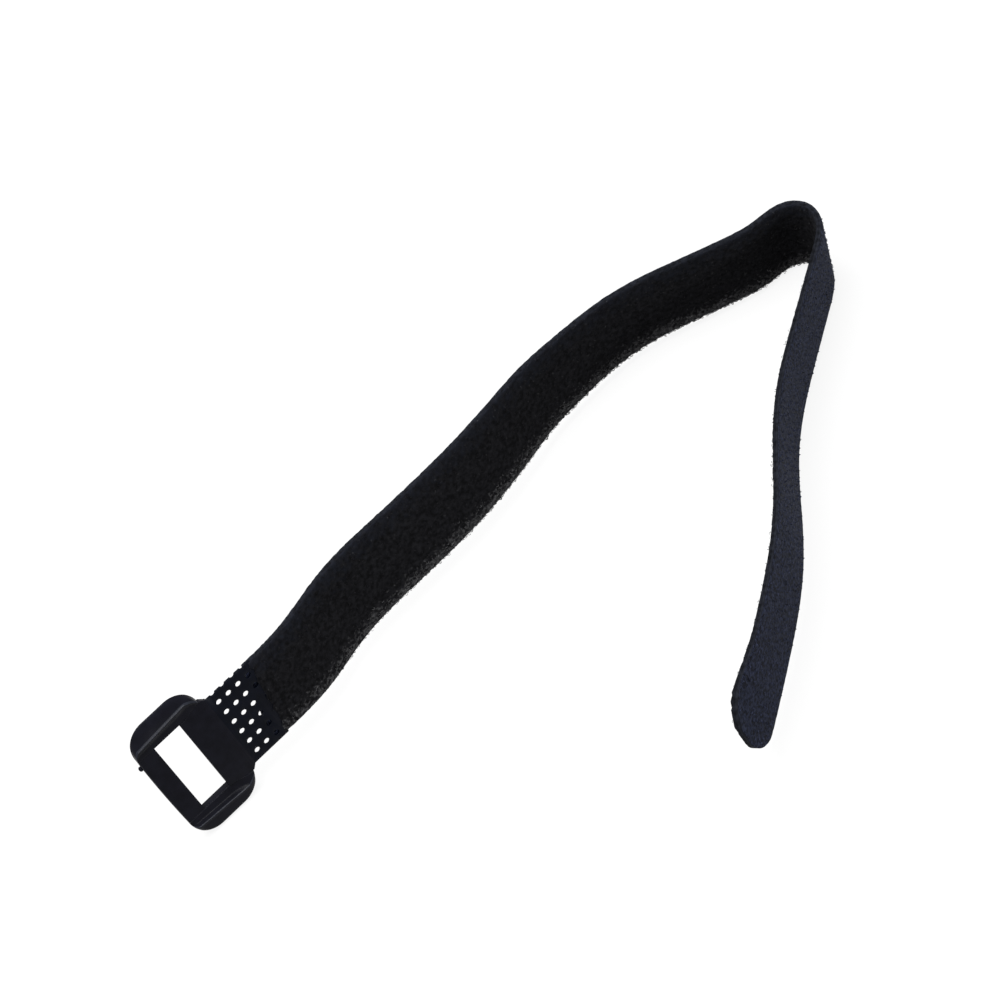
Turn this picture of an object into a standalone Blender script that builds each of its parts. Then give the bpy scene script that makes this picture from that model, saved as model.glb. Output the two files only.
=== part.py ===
"""Hook and loop cable tie: a moulded buckle whose perforated web holds a loop tape and a hook tape.

The tie lies open on its lower long edge, bent back on itself, as it stays when it is put down on a table.
Every piece is modelled flat, as it is cut or moulded, and then laid along the same list of bends.
Flat frame: X runs from the buckle to the tip, Y across the tape to its upper edge, Z out of the loop face.
Units are metres, +Z is up, and the origin is under the middle of the tie, on the surface it lies on.
"""

import math

import bmesh
import bpy
from mathutils import Matrix, Vector

# Tape
TAPE_WIDTH = 0.020
TAPE_LENGTH = 0.297           # from the end of the buckle plate to the tip
LOOP_TAPE_THICKNESS = 0.00075
HOOK_TAPE_THICKNESS = 0.00055
TAPE_GAP = 0.0003             # bond line between the tapes, and between a tape and the web
TIP_RADIUS = 0.0085           # of the tip's two round corners
TIP_SEGMENTS = 7

# Buckle ring
SLOT_CLEARANCE = 0.0001       # at each side of the tape
SLOT_LENGTH = 0.0068          # along the tape
FRONT_BAR_LENGTH = 0.0043
PLATE_LENGTH = 0.0073
RING_BACK = 0.00145           # how far the ring reaches behind the web's back face
BAR_EASE = 0.0002             # how much less than the ribs the front bar reaches behind the web
BAR_TOP = 0.00025             # heights above the web's back face
PLATE_TOP = 0.0006
RIB_INNER_TOP = 0.00035
RIB_OUTER_TOP = 0.0003
RIDGE_TOP = 0.0010
RIB_WIDTH = 0.0063
RIDGE_PLACE_FRONT = 0.39      # share of the rib's width from the slot to the ridge
RIDGE_PLACE_REAR = 0.60
RIDGE_FLAT = 0.0006
RIB_FLARE = 0.0014            # how far the rib's inner edge runs outwards beside the plate
RIB_BACK_CHAMFER = 0.0006
RIB_REAR_SETBACK = 0.0014     # from the end of the plate back to the ribs' rear ends
RIB_CORNER_RADIUS = 0.0055
RIB_END_BEVEL = 0.0013
CORNER_SEGMENTS = 5

# Perforated web, which is a little wider than the tape, as the plate is
WEB_MARGIN = 0.0004           # at each side of the tape
WEB_LENGTH_UPPER = 0.0117     # at the upper edge, where the loop tape starts late
WEB_LENGTH_LOWER = 0.0093
WEB_THICKNESS = 0.0005
PLATE_BELOW = 0.0006          # how far the plate reaches behind the web's back face
HOLE_DIAMETER = 0.0013
HOLE_SIDES = 10
HOLE_PITCH_ALONG = 0.00265
HOLE_PITCH_ACROSS = 0.0032
HOLE_ROWS = 4
HOLE_COLUMNS = 7
FIRST_ROW = 0.0018            # from the end of the plate to the first row's centres
CUT_OPEN = 0.0005             # how far past the upper edge the first column's centres lie
HOLE_MARGIN = 0.0003          # least plastic between a hole and the web's end

# Hook tape's end, behind the web
HOOK_START_UPPER = 0.0100
HOOK_START_LOWER = 0.0056

# Lay of the tie
START_HEADING = 22.1          # degrees, seen from above
START_LEAN = 16.8             # degrees, the upper edge leans away from the loop face
BENDS = (                     # place along the tape, turn in degrees, length it is spread over
    (0.0215, 23.5, 0.028),
    (0.036, -24, 0.0355),
    (0.074, 17, 0.059),
    (0.0985, -13, 0.0225),
    (0.124, -24.5, 0.0375),
    (0.159, 58.5, 0.020),
    (0.1685, -186, 0.0355),
    (0.2255, 25.5, 0.0645),
    (0.248, -24, 0.0655),
    (0.280, -1, 0.030),
)
TWISTS = (                    # the same for the upper edge's turn towards the loop face
    (0.099, 17, 0.109),
    (0.225, 6.5, 0.0715),
    (0.288, 5, 0.030),
)
LAY_STEP = 0.0005
STATION_TURN = math.radians(6)
STATION_LENGTH = 0.005

# Finish
BUCKLE_COLOUR = (0.0105, 0.0115, 0.0150, 1.0)
LOOP_COLOUR = (0.0070, 0.0070, 0.0085, 1.0)
HOOK_COLOUR = (0.0220, 0.0250, 0.0370, 1.0)
BUCKLE_ROUGHNESS = 0.42
LOOP_ROUGHNESS = 0.95
HOOK_ROUGHNESS = 0.75

# Places in the flat frame
WEB_BACK = TAPE_GAP / 2
SLOT_REAR = -PLATE_LENGTH
SLOT_FRONT = SLOT_REAR - SLOT_LENGTH
BUCKLE_FRONT = SLOT_FRONT - FRONT_BAR_LENGTH
SLOT_HALF = TAPE_WIDTH / 2 + SLOT_CLEARANCE
WEB_HALF = TAPE_WIDTH / 2 + WEB_MARGIN
OVERLAP = 0.0007              # how far pieces of one moulding run into each other
CUT_PAST = 0.002              # how far a cutter runs past a face


def spread(place, centre, turn, length):
    """Turn for each metre of tape of a bend that eases in and out."""
    offset = (place - centre) / length
    if abs(offset) >= 0.5:
        return 0.0
    return turn / length * (1 + math.cos(2 * math.pi * offset))


def rate(place, turns):
    return math.radians(sum(spread(place, *turn) for turn in turns))


def start_frame():
    """Directions of the tape at the buckle: along, across to the upper edge, and out of the loop face."""
    heading, lean = math.radians(START_HEADING), math.radians(START_LEAN)
    along = Vector((math.cos(heading), math.sin(heading), 0))
    side = Vector((-math.sin(heading), math.cos(heading), 0))
    across = math.cos(lean) * along.cross(side) + math.sin(lean) * side
    return along, across, along.cross(across)


def trace_lay():
    """Follows the tape's lower edge and lists place, point and directions at every step."""
    along, across, out = start_frame()
    point = Vector((0, 0, 0))
    steps = [(0.0, point.copy(), along.copy(), across.copy(), out.copy())]
    for index in range(math.ceil(TAPE_LENGTH / LAY_STEP)):
        place = (index + 0.5) * LAY_STEP
        turn = across * rate(place, BENDS) * LAY_STEP + along * rate(place, TWISTS) * LAY_STEP
        before = along.copy()
        if turn.length > 0:
            rotation = Matrix.Rotation(turn.length, 3, turn.normalized())
            along, across, out = rotation @ along, rotation @ across, rotation @ out
        point = point + (before + along) / 2 * LAY_STEP
        steps.append(((index + 1) * LAY_STEP, point.copy(), along.copy(), across.copy(), out.copy()))
    return steps


LAY = trace_lay()


def laid(flat):
    """Moves a point of the flat model to its place on the bent tape."""
    if flat.x <= 0:
        _, point, along, across, out = LAY[0]
        point = point + along * flat.x
    else:
        low = min(int(flat.x / LAY_STEP), len(LAY) - 2)
        share = min((flat.x - LAY[low][0]) / LAY_STEP, 1.0)
        point, along, across, out = (a.lerp(b, share) for a, b in zip(LAY[low][1:], LAY[low + 1][1:]))
        across = across.normalized()
        out = out.normalized()
    return point + across * (flat.y + TAPE_WIDTH / 2) + out * flat.z


def stations(start, end):
    """Places where a flat piece is cut across so that it can bend."""
    found = []
    turned = 0.0
    last = start
    place = start
    while place < end:
        place += LAY_STEP
        turned += math.hypot(rate(place, BENDS), rate(place, TWISTS)) * LAY_STEP
        if turned >= STATION_TURN or place - last >= STATION_LENGTH:
            found.append(place)
            turned = 0.0
            last = place
    return [place for place in found if place < end - LAY_STEP]


def clear_scene():
    for obj in list(bpy.data.objects):
        bpy.data.objects.remove(obj, do_unlink=True)


def new_collection(name):
    collection = bpy.data.collections.new(name)
    bpy.context.scene.collection.children.link(collection)
    return collection


def new_material(name, colour, roughness):
    material = bpy.data.materials.new(name)
    material.use_nodes = True
    shader = material.node_tree.nodes["Principled BSDF"]
    shader.inputs["Base Color"].default_value = colour
    shader.inputs["Roughness"].default_value = roughness
    shader.inputs["Metallic"].default_value = 0.0
    return material


def new_object(name, bm, collection):
    mesh = bpy.data.meshes.new(name)
    bmesh.ops.recalc_face_normals(bm, faces=bm.faces)
    bm.to_mesh(mesh)
    bm.free()
    obj = bpy.data.objects.new(name, mesh)
    collection.objects.link(obj)
    return obj


def box(low, high):
    """A bmesh box between two corners."""
    bm = bmesh.new()
    bmesh.ops.create_cube(bm, size=1.0)
    low, high = Vector(low), Vector(high)
    bmesh.ops.scale(bm, vec=high - low, verts=bm.verts)
    bmesh.ops.translate(bm, vec=(low + high) / 2, verts=bm.verts)
    return bm


def round_upright_edges(bm, chosen, radius, segments):
    """Rounds the edges along Z whose middle the test picks."""
    edges = []
    for edge in bm.edges:
        first, second = (vert.co for vert in edge.verts)
        upright = abs(first.x - second.x) < 1e-6 and abs(first.y - second.y) < 1e-6
        if upright and chosen((first + second) / 2):
            edges.append(edge)
    bmesh.ops.bevel(bm, geom=edges, offset=radius, segments=segments, profile=0.5, affect="EDGES", material=-1)


def combine(obj, other, operation="UNION"):
    modifier = obj.modifiers.new(other.name, "BOOLEAN")
    modifier.operation = operation
    modifier.solver = "EXACT"
    modifier.object = other


def bake(obj):
    """Replaces the object's mesh with the one its modifiers make."""
    graph = bpy.context.evaluated_depsgraph_get()
    mesh = bpy.data.meshes.new_from_object(obj.evaluated_get(graph))
    obj.modifiers.clear()
    obj.data = mesh


def bend(obj, start, end):
    """Cuts a flat piece across at the stations and lays it along the bends."""
    bm = bmesh.new()
    bm.from_mesh(obj.data)
    for place in stations(max(start, 0.0), end):
        geometry = bm.verts[:] + bm.edges[:] + bm.faces[:]
        bmesh.ops.bisect_plane(bm, geom=geometry, dist=1e-7, plane_co=(place, 0, 0), plane_no=(1, 0, 0))
    for vert in bm.verts:
        vert.co = laid(vert.co)
    bm.to_mesh(obj.data)
    bm.free()


def make_tape(name, start_lower, start_upper, back, thickness, material, collection):
    """A flat tape with a slanting start and a round tip, bent along the lay."""
    half = TAPE_WIDTH / 2
    bm = box((0, -half, back), (TAPE_LENGTH, half, back + thickness))
    round_upright_edges(bm, lambda middle: middle.x > TAPE_LENGTH / 2, TIP_RADIUS, TIP_SEGMENTS)
    for vert in bm.verts:
        if vert.co.x < TAPE_LENGTH / 2:
            vert.co.x = start_upper if vert.co.y > 0 else start_lower
    obj = new_object(name, bm, collection)
    bend(obj, min(start_lower, start_upper), TAPE_LENGTH)
    obj.data.materials.append(material)
    return obj


def rib_section(side, place):
    """Corners of a rib's section at a place along the tape, from its back inner corner."""
    share = (place - BUCKLE_FRONT) / (-RIB_REAR_SETBACK - BUCKLE_FRONT)
    ridge_place = RIDGE_PLACE_FRONT + (RIDGE_PLACE_REAR - RIDGE_PLACE_FRONT) * share
    flare = max(0.0, (place - SLOT_REAR) / (-RIB_REAR_SETBACK - SLOT_REAR)) * RIB_FLARE
    outer = SLOT_HALF + RIB_WIDTH
    ridge = SLOT_HALF + RIB_WIDTH * ridge_place
    corners = (
        (SLOT_HALF - OVERLAP, -RING_BACK),
        (outer - RIB_BACK_CHAMFER, -RING_BACK),
        (outer, RIB_BACK_CHAMFER - RING_BACK),
        (outer, RIB_OUTER_TOP),
        (ridge + RIDGE_FLAT / 2, RIDGE_TOP),
        (ridge - RIDGE_FLAT / 2, RIDGE_TOP),
        (SLOT_HALF + flare, RIB_INNER_TOP),
        (SLOT_HALF - OVERLAP, RIB_INNER_TOP),
    )
    return [Vector((place, side * across, WEB_BACK + height)) for across, height in corners]


def make_rib(name, side, collection):
    """A raised side rib of the ring, lofted through three sections, with its upper end edges eased."""
    bm = bmesh.new()
    places = (BUCKLE_FRONT, SLOT_REAR, -RIB_REAR_SETBACK)
    rings = [[bm.verts.new(co) for co in rib_section(side, place)] for place in places]
    for first, second in zip(rings, rings[1:]):
        for index in range(len(first)):
            following = (index + 1) % len(first)
            bm.faces.new((first[index], first[following], second[following], second[index]))
    bm.faces.new(rings[0])
    bm.faces.new(rings[-1])
    bmesh.ops.recalc_face_normals(bm, faces=bm.faces)
    tops = [edge for edge in bm.edges if is_end(edge) and min(vert.co.z for vert in edge.verts) > WEB_BACK]
    bmesh.ops.bevel(
        bm, geom=tops, offset=RIB_END_BEVEL, segments=2, profile=0.5, affect="EDGES", material=-1
    )
    return new_object(name, bm, collection)


def is_end(edge):
    """Whether an edge lies in one of the rib's two end faces."""
    places = [vert.co.x for vert in edge.verts]
    return any(max(abs(place - end) for place in places) < 1e-6 for end in (BUCKLE_FRONT, -RIB_REAR_SETBACK))


def make_corner_cutter(name, end, side, collection):
    """What is left outside a round corner of the ring: a block less the corner's cylinder."""
    outer = side * (SLOT_HALF + RIB_WIDTH)
    edge = BUCKLE_FRONT if end < 0 else -RIB_REAR_SETBACK
    centre = Vector((edge - end * RIB_CORNER_RADIUS, outer - side * RIB_CORNER_RADIUS, 0))
    past = Vector((edge + end * CUT_PAST, outer + side * CUT_PAST, 0))
    depth = 2 * (RING_BACK + RIDGE_TOP)
    low = (min(centre.x, past.x), min(centre.y, past.y), -depth)
    high = (max(centre.x, past.x), max(centre.y, past.y), depth)
    block = new_object(name, box(low, high), collection)
    bm = bmesh.new()
    bmesh.ops.create_cone(
        bm,
        cap_ends=True,
        segments=4 * CORNER_SEGMENTS,
        radius1=RIB_CORNER_RADIUS,
        radius2=RIB_CORNER_RADIUS,
        depth=3 * depth,
        matrix=Matrix.Translation(centre),
    )
    round_bar = new_object(name + "_round", bm, collection)
    combine(block, round_bar, "DIFFERENCE")
    return block


def make_web_blank(collection):
    """The thin web before its holes are cut, with its slanting end."""
    low = (-PLATE_LENGTH / 2, -WEB_HALF, WEB_BACK)
    bm = box(low, (WEB_LENGTH_LOWER, WEB_HALF, WEB_BACK + WEB_THICKNESS))
    for vert in bm.verts:
        if vert.co.x > 0:
            vert.co.x = web_end(vert.co.y)
    return new_object("web_blank", bm, collection)


def web_end(across):
    """Where the web ends at a place across the tape."""
    share = across / WEB_HALF / 2 + 0.5
    return WEB_LENGTH_LOWER + (WEB_LENGTH_UPPER - WEB_LENGTH_LOWER) * share


def hole_centres():
    """Centres of the web's holes; the first column is cut open by the upper edge."""
    for row in range(HOLE_ROWS):
        for column in range(HOLE_COLUMNS):
            along = FIRST_ROW + row * HOLE_PITCH_ALONG
            across = WEB_HALF + CUT_OPEN - column * HOLE_PITCH_ACROSS
            if along + HOLE_DIAMETER / 2 + HOLE_MARGIN < web_end(across):
                yield along, across


def make_hole_cutter(collection):
    bm = bmesh.new()
    for along, across in hole_centres():
        bmesh.ops.create_cone(
            bm,
            cap_ends=True,
            segments=HOLE_SIDES,
            radius1=HOLE_DIAMETER / 2,
            radius2=HOLE_DIAMETER / 2,
            depth=WEB_THICKNESS + 2 * CUT_PAST,
            matrix=Matrix.Translation((along, across, WEB_BACK + WEB_THICKNESS / 2)),
        )
    return new_object("hole_cutter", bm, collection)


def make_buckle(material, collection, cutters):
    """One moulding: front bar, two ribs, plate and perforated web, around an open slot."""
    plate_low = (SLOT_REAR, -WEB_HALF, WEB_BACK - PLATE_BELOW)
    plate = box(plate_low, (0, WEB_HALF, WEB_BACK + PLATE_TOP))
    buckle = new_object("buckle", plate, collection)
    bar_low = (BUCKLE_FRONT, -SLOT_HALF - OVERLAP / 2, WEB_BACK - RING_BACK + BAR_EASE)
    bar_high = (SLOT_FRONT, SLOT_HALF + OVERLAP / 2, WEB_BACK + BAR_TOP)
    combine(buckle, new_object("front_bar_blank", box(bar_low, bar_high), cutters))
    for side, name in ((1, "upper"), (-1, "lower")):
        rib = make_rib(name + "_rib_blank", side, cutters)
        for end, place in ((-1, "front"), (1, "rear")):
            combine(rib, make_corner_cutter("%s_%s_corner" % (name, place), end, side, cutters), "DIFFERENCE")
        combine(buckle, rib)
    combine(buckle, make_web_blank(cutters))
    combine(buckle, make_hole_cutter(cutters), "DIFFERENCE")
    slot_low = (SLOT_FRONT, -SLOT_HALF, -2 * CUT_PAST)
    slot_high = (SLOT_REAR, SLOT_HALF, 2 * CUT_PAST)
    combine(buckle, new_object("slot_cutter", box(slot_low, slot_high), cutters), "DIFFERENCE")
    bake(buckle)
    bend(buckle, 0.0, WEB_LENGTH_UPPER)
    buckle.data.materials.append(material)
    return buckle


def set_down(objects, collection):
    """Parents the pieces to an empty that stands the tie on Z = 0 with its middle at the origin."""
    corners = [vert.co for obj in objects for vert in obj.data.vertices]
    low = Vector([min(co[axis] for co in corners) for axis in range(3)])
    high = Vector([max(co[axis] for co in corners) for axis in range(3)])
    empty = bpy.data.objects.new("cable_tie_origin", None)
    collection.objects.link(empty)
    empty.location = (-(low.x + high.x) / 2, -(low.y + high.y) / 2, -low.z)
    for obj in objects:
        obj.parent = empty


def main():
    clear_scene()
    parts = new_collection("hook_and_loop_cable_tie")
    cutters = new_collection("cutters")
    buckle = make_buckle(new_material("moulded_plastic", BUCKLE_COLOUR, BUCKLE_ROUGHNESS), parts, cutters)
    loop_start = TAPE_GAP
    loop_tape = make_tape(
        "loop_tape",
        WEB_LENGTH_LOWER + loop_start,
        WEB_LENGTH_UPPER + loop_start,
        WEB_BACK,
        LOOP_TAPE_THICKNESS,
        new_material("loop_pile", LOOP_COLOUR, LOOP_ROUGHNESS),
        parts,
    )
    hook_tape = make_tape(
        "hook_tape",
        HOOK_START_LOWER,
        HOOK_START_UPPER,
        WEB_BACK - TAPE_GAP - HOOK_TAPE_THICKNESS,
        HOOK_TAPE_THICKNESS,
        new_material("hook_weave", HOOK_COLOUR, HOOK_ROUGHNESS),
        parts,
    )
    for obj in cutters.objects:
        obj.hide_render = True
        obj.display_type = "WIRE"
    for obj in (loop_tape, hook_tape):
        obj.data.shade_smooth()
        obj.data.set_sharp_from_angle(angle=math.radians(40))
    set_down((buckle, loop_tape, hook_tape), parts)


main()
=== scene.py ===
import math
import random

import bmesh
import bpy
from bpy.props import FloatProperty, FloatVectorProperty, IntProperty, PointerProperty
from mathutils import Matrix, Vector, noise


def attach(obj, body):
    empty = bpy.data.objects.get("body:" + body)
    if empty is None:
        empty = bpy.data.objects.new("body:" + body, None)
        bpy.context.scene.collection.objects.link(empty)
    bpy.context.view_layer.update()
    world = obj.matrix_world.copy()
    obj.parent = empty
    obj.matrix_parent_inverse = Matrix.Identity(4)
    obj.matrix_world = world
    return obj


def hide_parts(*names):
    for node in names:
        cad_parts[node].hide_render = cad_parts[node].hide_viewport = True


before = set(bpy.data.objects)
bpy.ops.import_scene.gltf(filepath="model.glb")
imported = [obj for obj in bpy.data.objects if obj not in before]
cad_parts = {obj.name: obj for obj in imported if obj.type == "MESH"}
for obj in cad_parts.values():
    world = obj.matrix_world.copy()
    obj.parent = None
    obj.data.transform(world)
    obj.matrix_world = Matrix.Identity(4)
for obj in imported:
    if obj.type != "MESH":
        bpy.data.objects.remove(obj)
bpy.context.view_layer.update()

bl_info = {
    "name": "Hook and Loop Cable Tie",
    "version": (1, 0, 0),
    "blender": (4, 5, 0),
    "location": "View3D > Sidebar > Cable Tie",
    "description": "Builds a hook and loop cable tie with a moulded buckle, laid open on its edge",
    "category": "Add Mesh",
}

# The lay of the tie on the table, as the bends and twists of an even ribbon.
# Flat frame: X from the buckle to the tip, Y across to the upper edge, Z out of the loop face.
START_POINT = (-0.068369, -0.006654, 0.006329)
START_HEADING = 22.1
START_LEAN = 16.8
BENDS = (                     # place along the tape, turn in degrees, length it is spread over
    (0.0215, 23.5, 0.028),
    (0.036, -24, 0.0355),
    (0.074, 17, 0.059),
    (0.0985, -13, 0.0225),
    (0.124, -24.5, 0.0375),
    (0.159, 58.5, 0.020),
    (0.1685, -186, 0.0355),
    (0.2255, 25.5, 0.0645),
    (0.248, -24, 0.0655),
    (0.280, -1, 0.030),
)
TWISTS = (
    (0.099, 17, 0.109),
    (0.225, 6.5, 0.0715),
    (0.288, 5, 0.030),
)
LAY_STEP = 0.0005
LAY_LENGTH = 0.300

# Camera, fitted to the outline of the tie
CAMERA_PLACE = (0.000241, -0.308926, 0.467883)
CAMERA_TILT = 36.005
CAMERA_ROLL = -25.186
CAMERA_LENS = 96.34

# Buckle, from the end of its plate; heights are above the web's back face
WEB_BACK = 0.00015            # height of that face in the flat frame
RING_BACK = 0.00145           # how far the ring reaches behind it
RIB_REAR = -0.0014            # place of the ribs' rear ends
RIB_END = 0.0013              # length over which the ribs' ends rise
RIB_END_LIFT = 0.0005         # how much less the ribs' ends reach behind the web
BACK_CHAMFER = 0.0006
RIDGE_FRONT = 0.0024          # from the slot's side to the ridge, at the rib's front and rear
RIDGE_REAR = 0.0037
RIDGE_SHARE = 0.62            # the farthest out that the ridge lies in the round corners
RIDGE_MARGIN = 0.0006         # least slope outside the ridge
LAND_FRONT = 0.00035          # height of the ribs' inner lands, at the slot and beside the web
LAND_REAR = 0.00078
SLOPE_TOP = 0.0003            # height of the ribs' outer edge
CREST_OUT = 0.00042           # the narrow facets at each side of the ridge
CREST_IN = 0.00036
SECTION_STEPS = 3             # points that ease a corner of a section, less one
BAR_TOP = 0.00025
BAR_BOW = 0.0002
BAR_LIFT = 0.0002             # how much less than the ribs the bar reaches behind the web
BAR_OVERLAP = 0.0007          # how far the bar runs into each rib
PLATE_TOP = 0.0006            # above and below the web's back face
PLATE_FLARE = 0.0013          # how far the plate widens at each side
EDGE_CLEARANCE = 0.0001       # between the slot's side and the plate's side
WEB_MARGIN = 0.0003           # how far the web reaches past the slot at each side
WEB_LENGTH_LOWER = 0.0093
WEB_LENGTH_UPPER = 0.0117
WEB_THICKNESS = 0.0005
WEB_OVERLAP = 0.001           # how far the web runs into the plate
WEB_CUT = 0.0015              # length of the strips in which the web bends
HOLE_ROWS = 4
HOLE_COLUMNS = 7
FIRST_ROW = 0.0018
CUT_OPEN = 0.0005             # how far past the upper edge the columns are counted from
NOTCH_PLACE = 0.0002          # how far past the upper edge the first column's centres lie
HOLE_MARGIN = 0.0003          # least plastic between a hole and the web's end

# Tapes
HALF_BOND = 0.00015           # half the thickness of the bond between the tapes
BOND_OVERLAP = 0.00002        # how far the two bonded tapes run into each other
LOOP_START_LOWER = 0.0089
LOOP_START_UPPER = 0.0112
HOOK_START_LOWER = 0.0056
HOOK_START_UPPER = 0.0100
GRID_LENGTH = 0.0006          # length of a face of the tapes' grid
GRID_ROWS = 32
SOFT_EDGE = 0.0007            # width of the rounded long edges
EDGE_DROP = 0.00016
PILE_START = 0.0088           # where the separate loops start at the lower edge
PILE_SLANT = 0.0023           # how much later they start at the upper edge
FRAY_START = 0.0105           # stretch of the frayed lower edge and where it is most frayed
FRAY_MOST = 0.155
FRAY_END = 0.21
HOOK_MARGIN = 0.0009          # from the outer hooks to the tape's edge
HOOK_PITCH = 0.0016
HOOK_COLUMNS = 16
FIRST_HOOK = 0.0115
HOOKS_SHORT = 0.011           # how much shorter than the tape the rows of hooks are

# Stage
OVERHEAD_PLACE = (-0.15, 0.10, 0.85)
OVERHEAD_SIZE = 0.6
FRONT_PLACE = (0.331, -0.781, 0.229)
FRONT_SIZE = 0.09
FLOOR_HALF = 3.0
FLOOR_GREY = 0.17
FLOOR_GLOW = 0.86


def colour_property(name, description, default):
    return FloatVectorProperty(
        name=name, description=description, default=default, subtype="COLOR", size=3, min=0.0, max=1.0
    )


def length_property(name, description, default):
    return FloatProperty(
        name=name, description=description, default=default, min=0.0, unit="LENGTH", precision=5
    )


def power_property(name, description, default):
    return FloatProperty(name=name, description=description, default=default, min=0.0, unit="POWER")


def count_property(name, description, default):
    return IntProperty(name=name, description=description, default=default, min=0)


class CableTieTape(bpy.types.PropertyGroup):
    """Sizes and colours of the two bonded tapes."""

    width: length_property("Width", "Width of the tape", 0.020)
    length: length_property("Length", "Length from the buckle plate to the tip", 0.297)
    loop_thickness: length_property("Loop thickness", "Thickness of the loop tape with its pile", 0.00075)
    hook_thickness: length_property("Hook thickness", "Thickness of the woven hook tape", 0.00055)
    tip_radius: length_property("Tip radius", "Radius of the tip's two round corners", 0.0085)
    pile_loops: count_property("Pile loops", "Separate loops standing out of the pile", 6800)
    edge_loops: count_property("Edge loops", "Frayed loops along the lower edge", 4200)
    loop_colour: colour_property("Loop colour", "Colour of the pile", (0.0108, 0.0108, 0.0124))
    fray_colour: colour_property("Fray colour", "Worn pile at the lower edge", (0.100, 0.100, 0.104))
    bare_colour: colour_property("Bare colour", "Thin pile at the upper edge", (0.0160, 0.0180, 0.0255))
    hook_colour: colour_property("Hook colour", "Colour of the woven hook tape", (0.0200, 0.0238, 0.0430))
    selvedge_colour: colour_property("Selvedge colour", "The tapes' woven edges", (0.0130, 0.0145, 0.0200))


class CableTieBuckle(bpy.types.PropertyGroup):
    """Sizes and colours of the moulded buckle."""

    slot_half: length_property("Half slot", "Half the slot's width across the tape", 0.0101)
    slot_length: length_property("Slot length", "Length of the slot along the tape", 0.0068)
    bar_length: length_property("Front bar", "Length of the front bar along the tape", 0.0043)
    plate_length: length_property("Plate", "Length of the plate along the tape", 0.0073)
    rib_width: length_property("Rib width", "Width of each side rib", 0.0063)
    rib_radius: length_property("Rib radius", "Radius of the ring's outer corners", 0.0055)
    ridge_height: length_property("Ridge height", "Height of the ribs' ridge above the web's back", 0.0010)
    hole_diameter: length_property("Hole", "Diameter of the web's holes", 0.0013)
    hole_along: length_property("Hole pitch along", "Pitch of the holes along the tape", 0.00265)
    hole_across: length_property("Hole pitch across", "Pitch of the holes across the tape", 0.0032)
    ring_colour: colour_property("Ring colour", "Colour of the ring", (0.0072, 0.0074, 0.0120))
    # The ridge colour is a painted highlight: a bluish colour about three times as bright as the ring's,
    # standing in for the lamps' gloss along the crests.
    ridge_highlight_colour: colour_property("Ridge colour", "Painted highlight along the ridges", (0.0200, 0.0225, 0.0330))
    web_colour: colour_property("Web colour", "Colour of the perforated web", (0.0036, 0.0046, 0.0092))


class CableTieStage(bpy.types.PropertyGroup):
    """Light levels of the stage."""

    world_light: FloatProperty(
        name="World light", description="Strength of the even light", default=0.42, min=0.0
    )
    lamp_power: power_property("Lamp power", "Power of the overhead soft box", 7.6)
    front_power: power_property("Front power", "Power of the small front box", 1.1)


def spread(place, centre, turn, length):
    """Turn for each metre of tape of a bend that eases in and out."""
    offset = (place - centre) / length
    if abs(offset) >= 0.5:
        return 0.0
    return turn / length * (1 + math.cos(2 * math.pi * offset))


def rate(place, turns):
    return math.radians(sum(spread(place, *turn) for turn in turns))


def trace_lay():
    """Follows the tape's lower edge and lists its point and directions at every step."""
    heading, lean = math.radians(START_HEADING), math.radians(START_LEAN)
    along = Vector((math.cos(heading), math.sin(heading), 0))
    side = Vector((-math.sin(heading), math.cos(heading), 0))
    across = math.cos(lean) * Vector((0, 0, 1)) + math.sin(lean) * side
    out = along.cross(across)
    point = Vector(START_POINT)
    steps = [(point.copy(), along.copy(), across.copy(), out.copy())]
    for index in range(round(LAY_LENGTH / LAY_STEP)):
        place = (index + 0.5) * LAY_STEP
        turn = (across * rate(place, BENDS) + along * rate(place, TWISTS)) * LAY_STEP
        before = along.copy()
        if turn.length > 0:
            rotation = Matrix.Rotation(turn.length, 3, turn.normalized())
            along, across, out = rotation @ along, rotation @ across, rotation @ out
        point = point + (before + along) / 2 * LAY_STEP
        steps.append((point.copy(), along.copy(), across.copy(), out.copy()))
    return steps


LAY = trace_lay()


def directions_at(place):
    """Point on the lower edge and the three directions of the tape at a place along it."""
    if place <= 0:
        point, along, across, out = LAY[0]
        return point + along * place, along, across, out
    low = min(int(place / LAY_STEP), len(LAY) - 2)
    share = min(place / LAY_STEP - low, 1.0)
    point, along, across, out = (a.lerp(b, share) for a, b in zip(LAY[low], LAY[low + 1]))
    return point, along.normalized(), across.normalized(), out.normalized()


def laid(flat, half_width):
    """Moves a point of the flat model to its place on the bent tape."""
    point, _, across, out = directions_at(flat.x)
    return point + across * (flat.y + half_width) + out * flat.z


def laid_matrix(flat, half_width):
    """Turns and moves a small flat shape onto the bent tape."""
    point, along, across, out = directions_at(flat.x)
    place = point + across * (flat.y + half_width) + out * flat.z
    return Matrix.Translation(place) @ Matrix((along, across, out)).transposed().to_4x4()


def ease(low, high, value):
    """Rises smoothly from 0 at low to 1 at high."""
    share = min(max((value - low) / (high - low), 0.0), 1.0)
    return share * share * (3 - 2 * share)


def mix(low, high, share):
    return low + (high - low) * share


def new_piece(name, bm, materials):
    """Makes a smooth-shaded object at the origin that rides on the tie's body."""
    mesh = bpy.data.meshes.new(name)
    bm.to_mesh(mesh)
    bm.free()
    for material in materials:
        mesh.materials.append(material)
    mesh.shade_smooth()
    obj = bpy.data.objects.new(name, mesh)
    bpy.context.scene.collection.objects.link(obj)
    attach(obj, "root")
    return obj


# Shapes of the moulding, made flat


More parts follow.
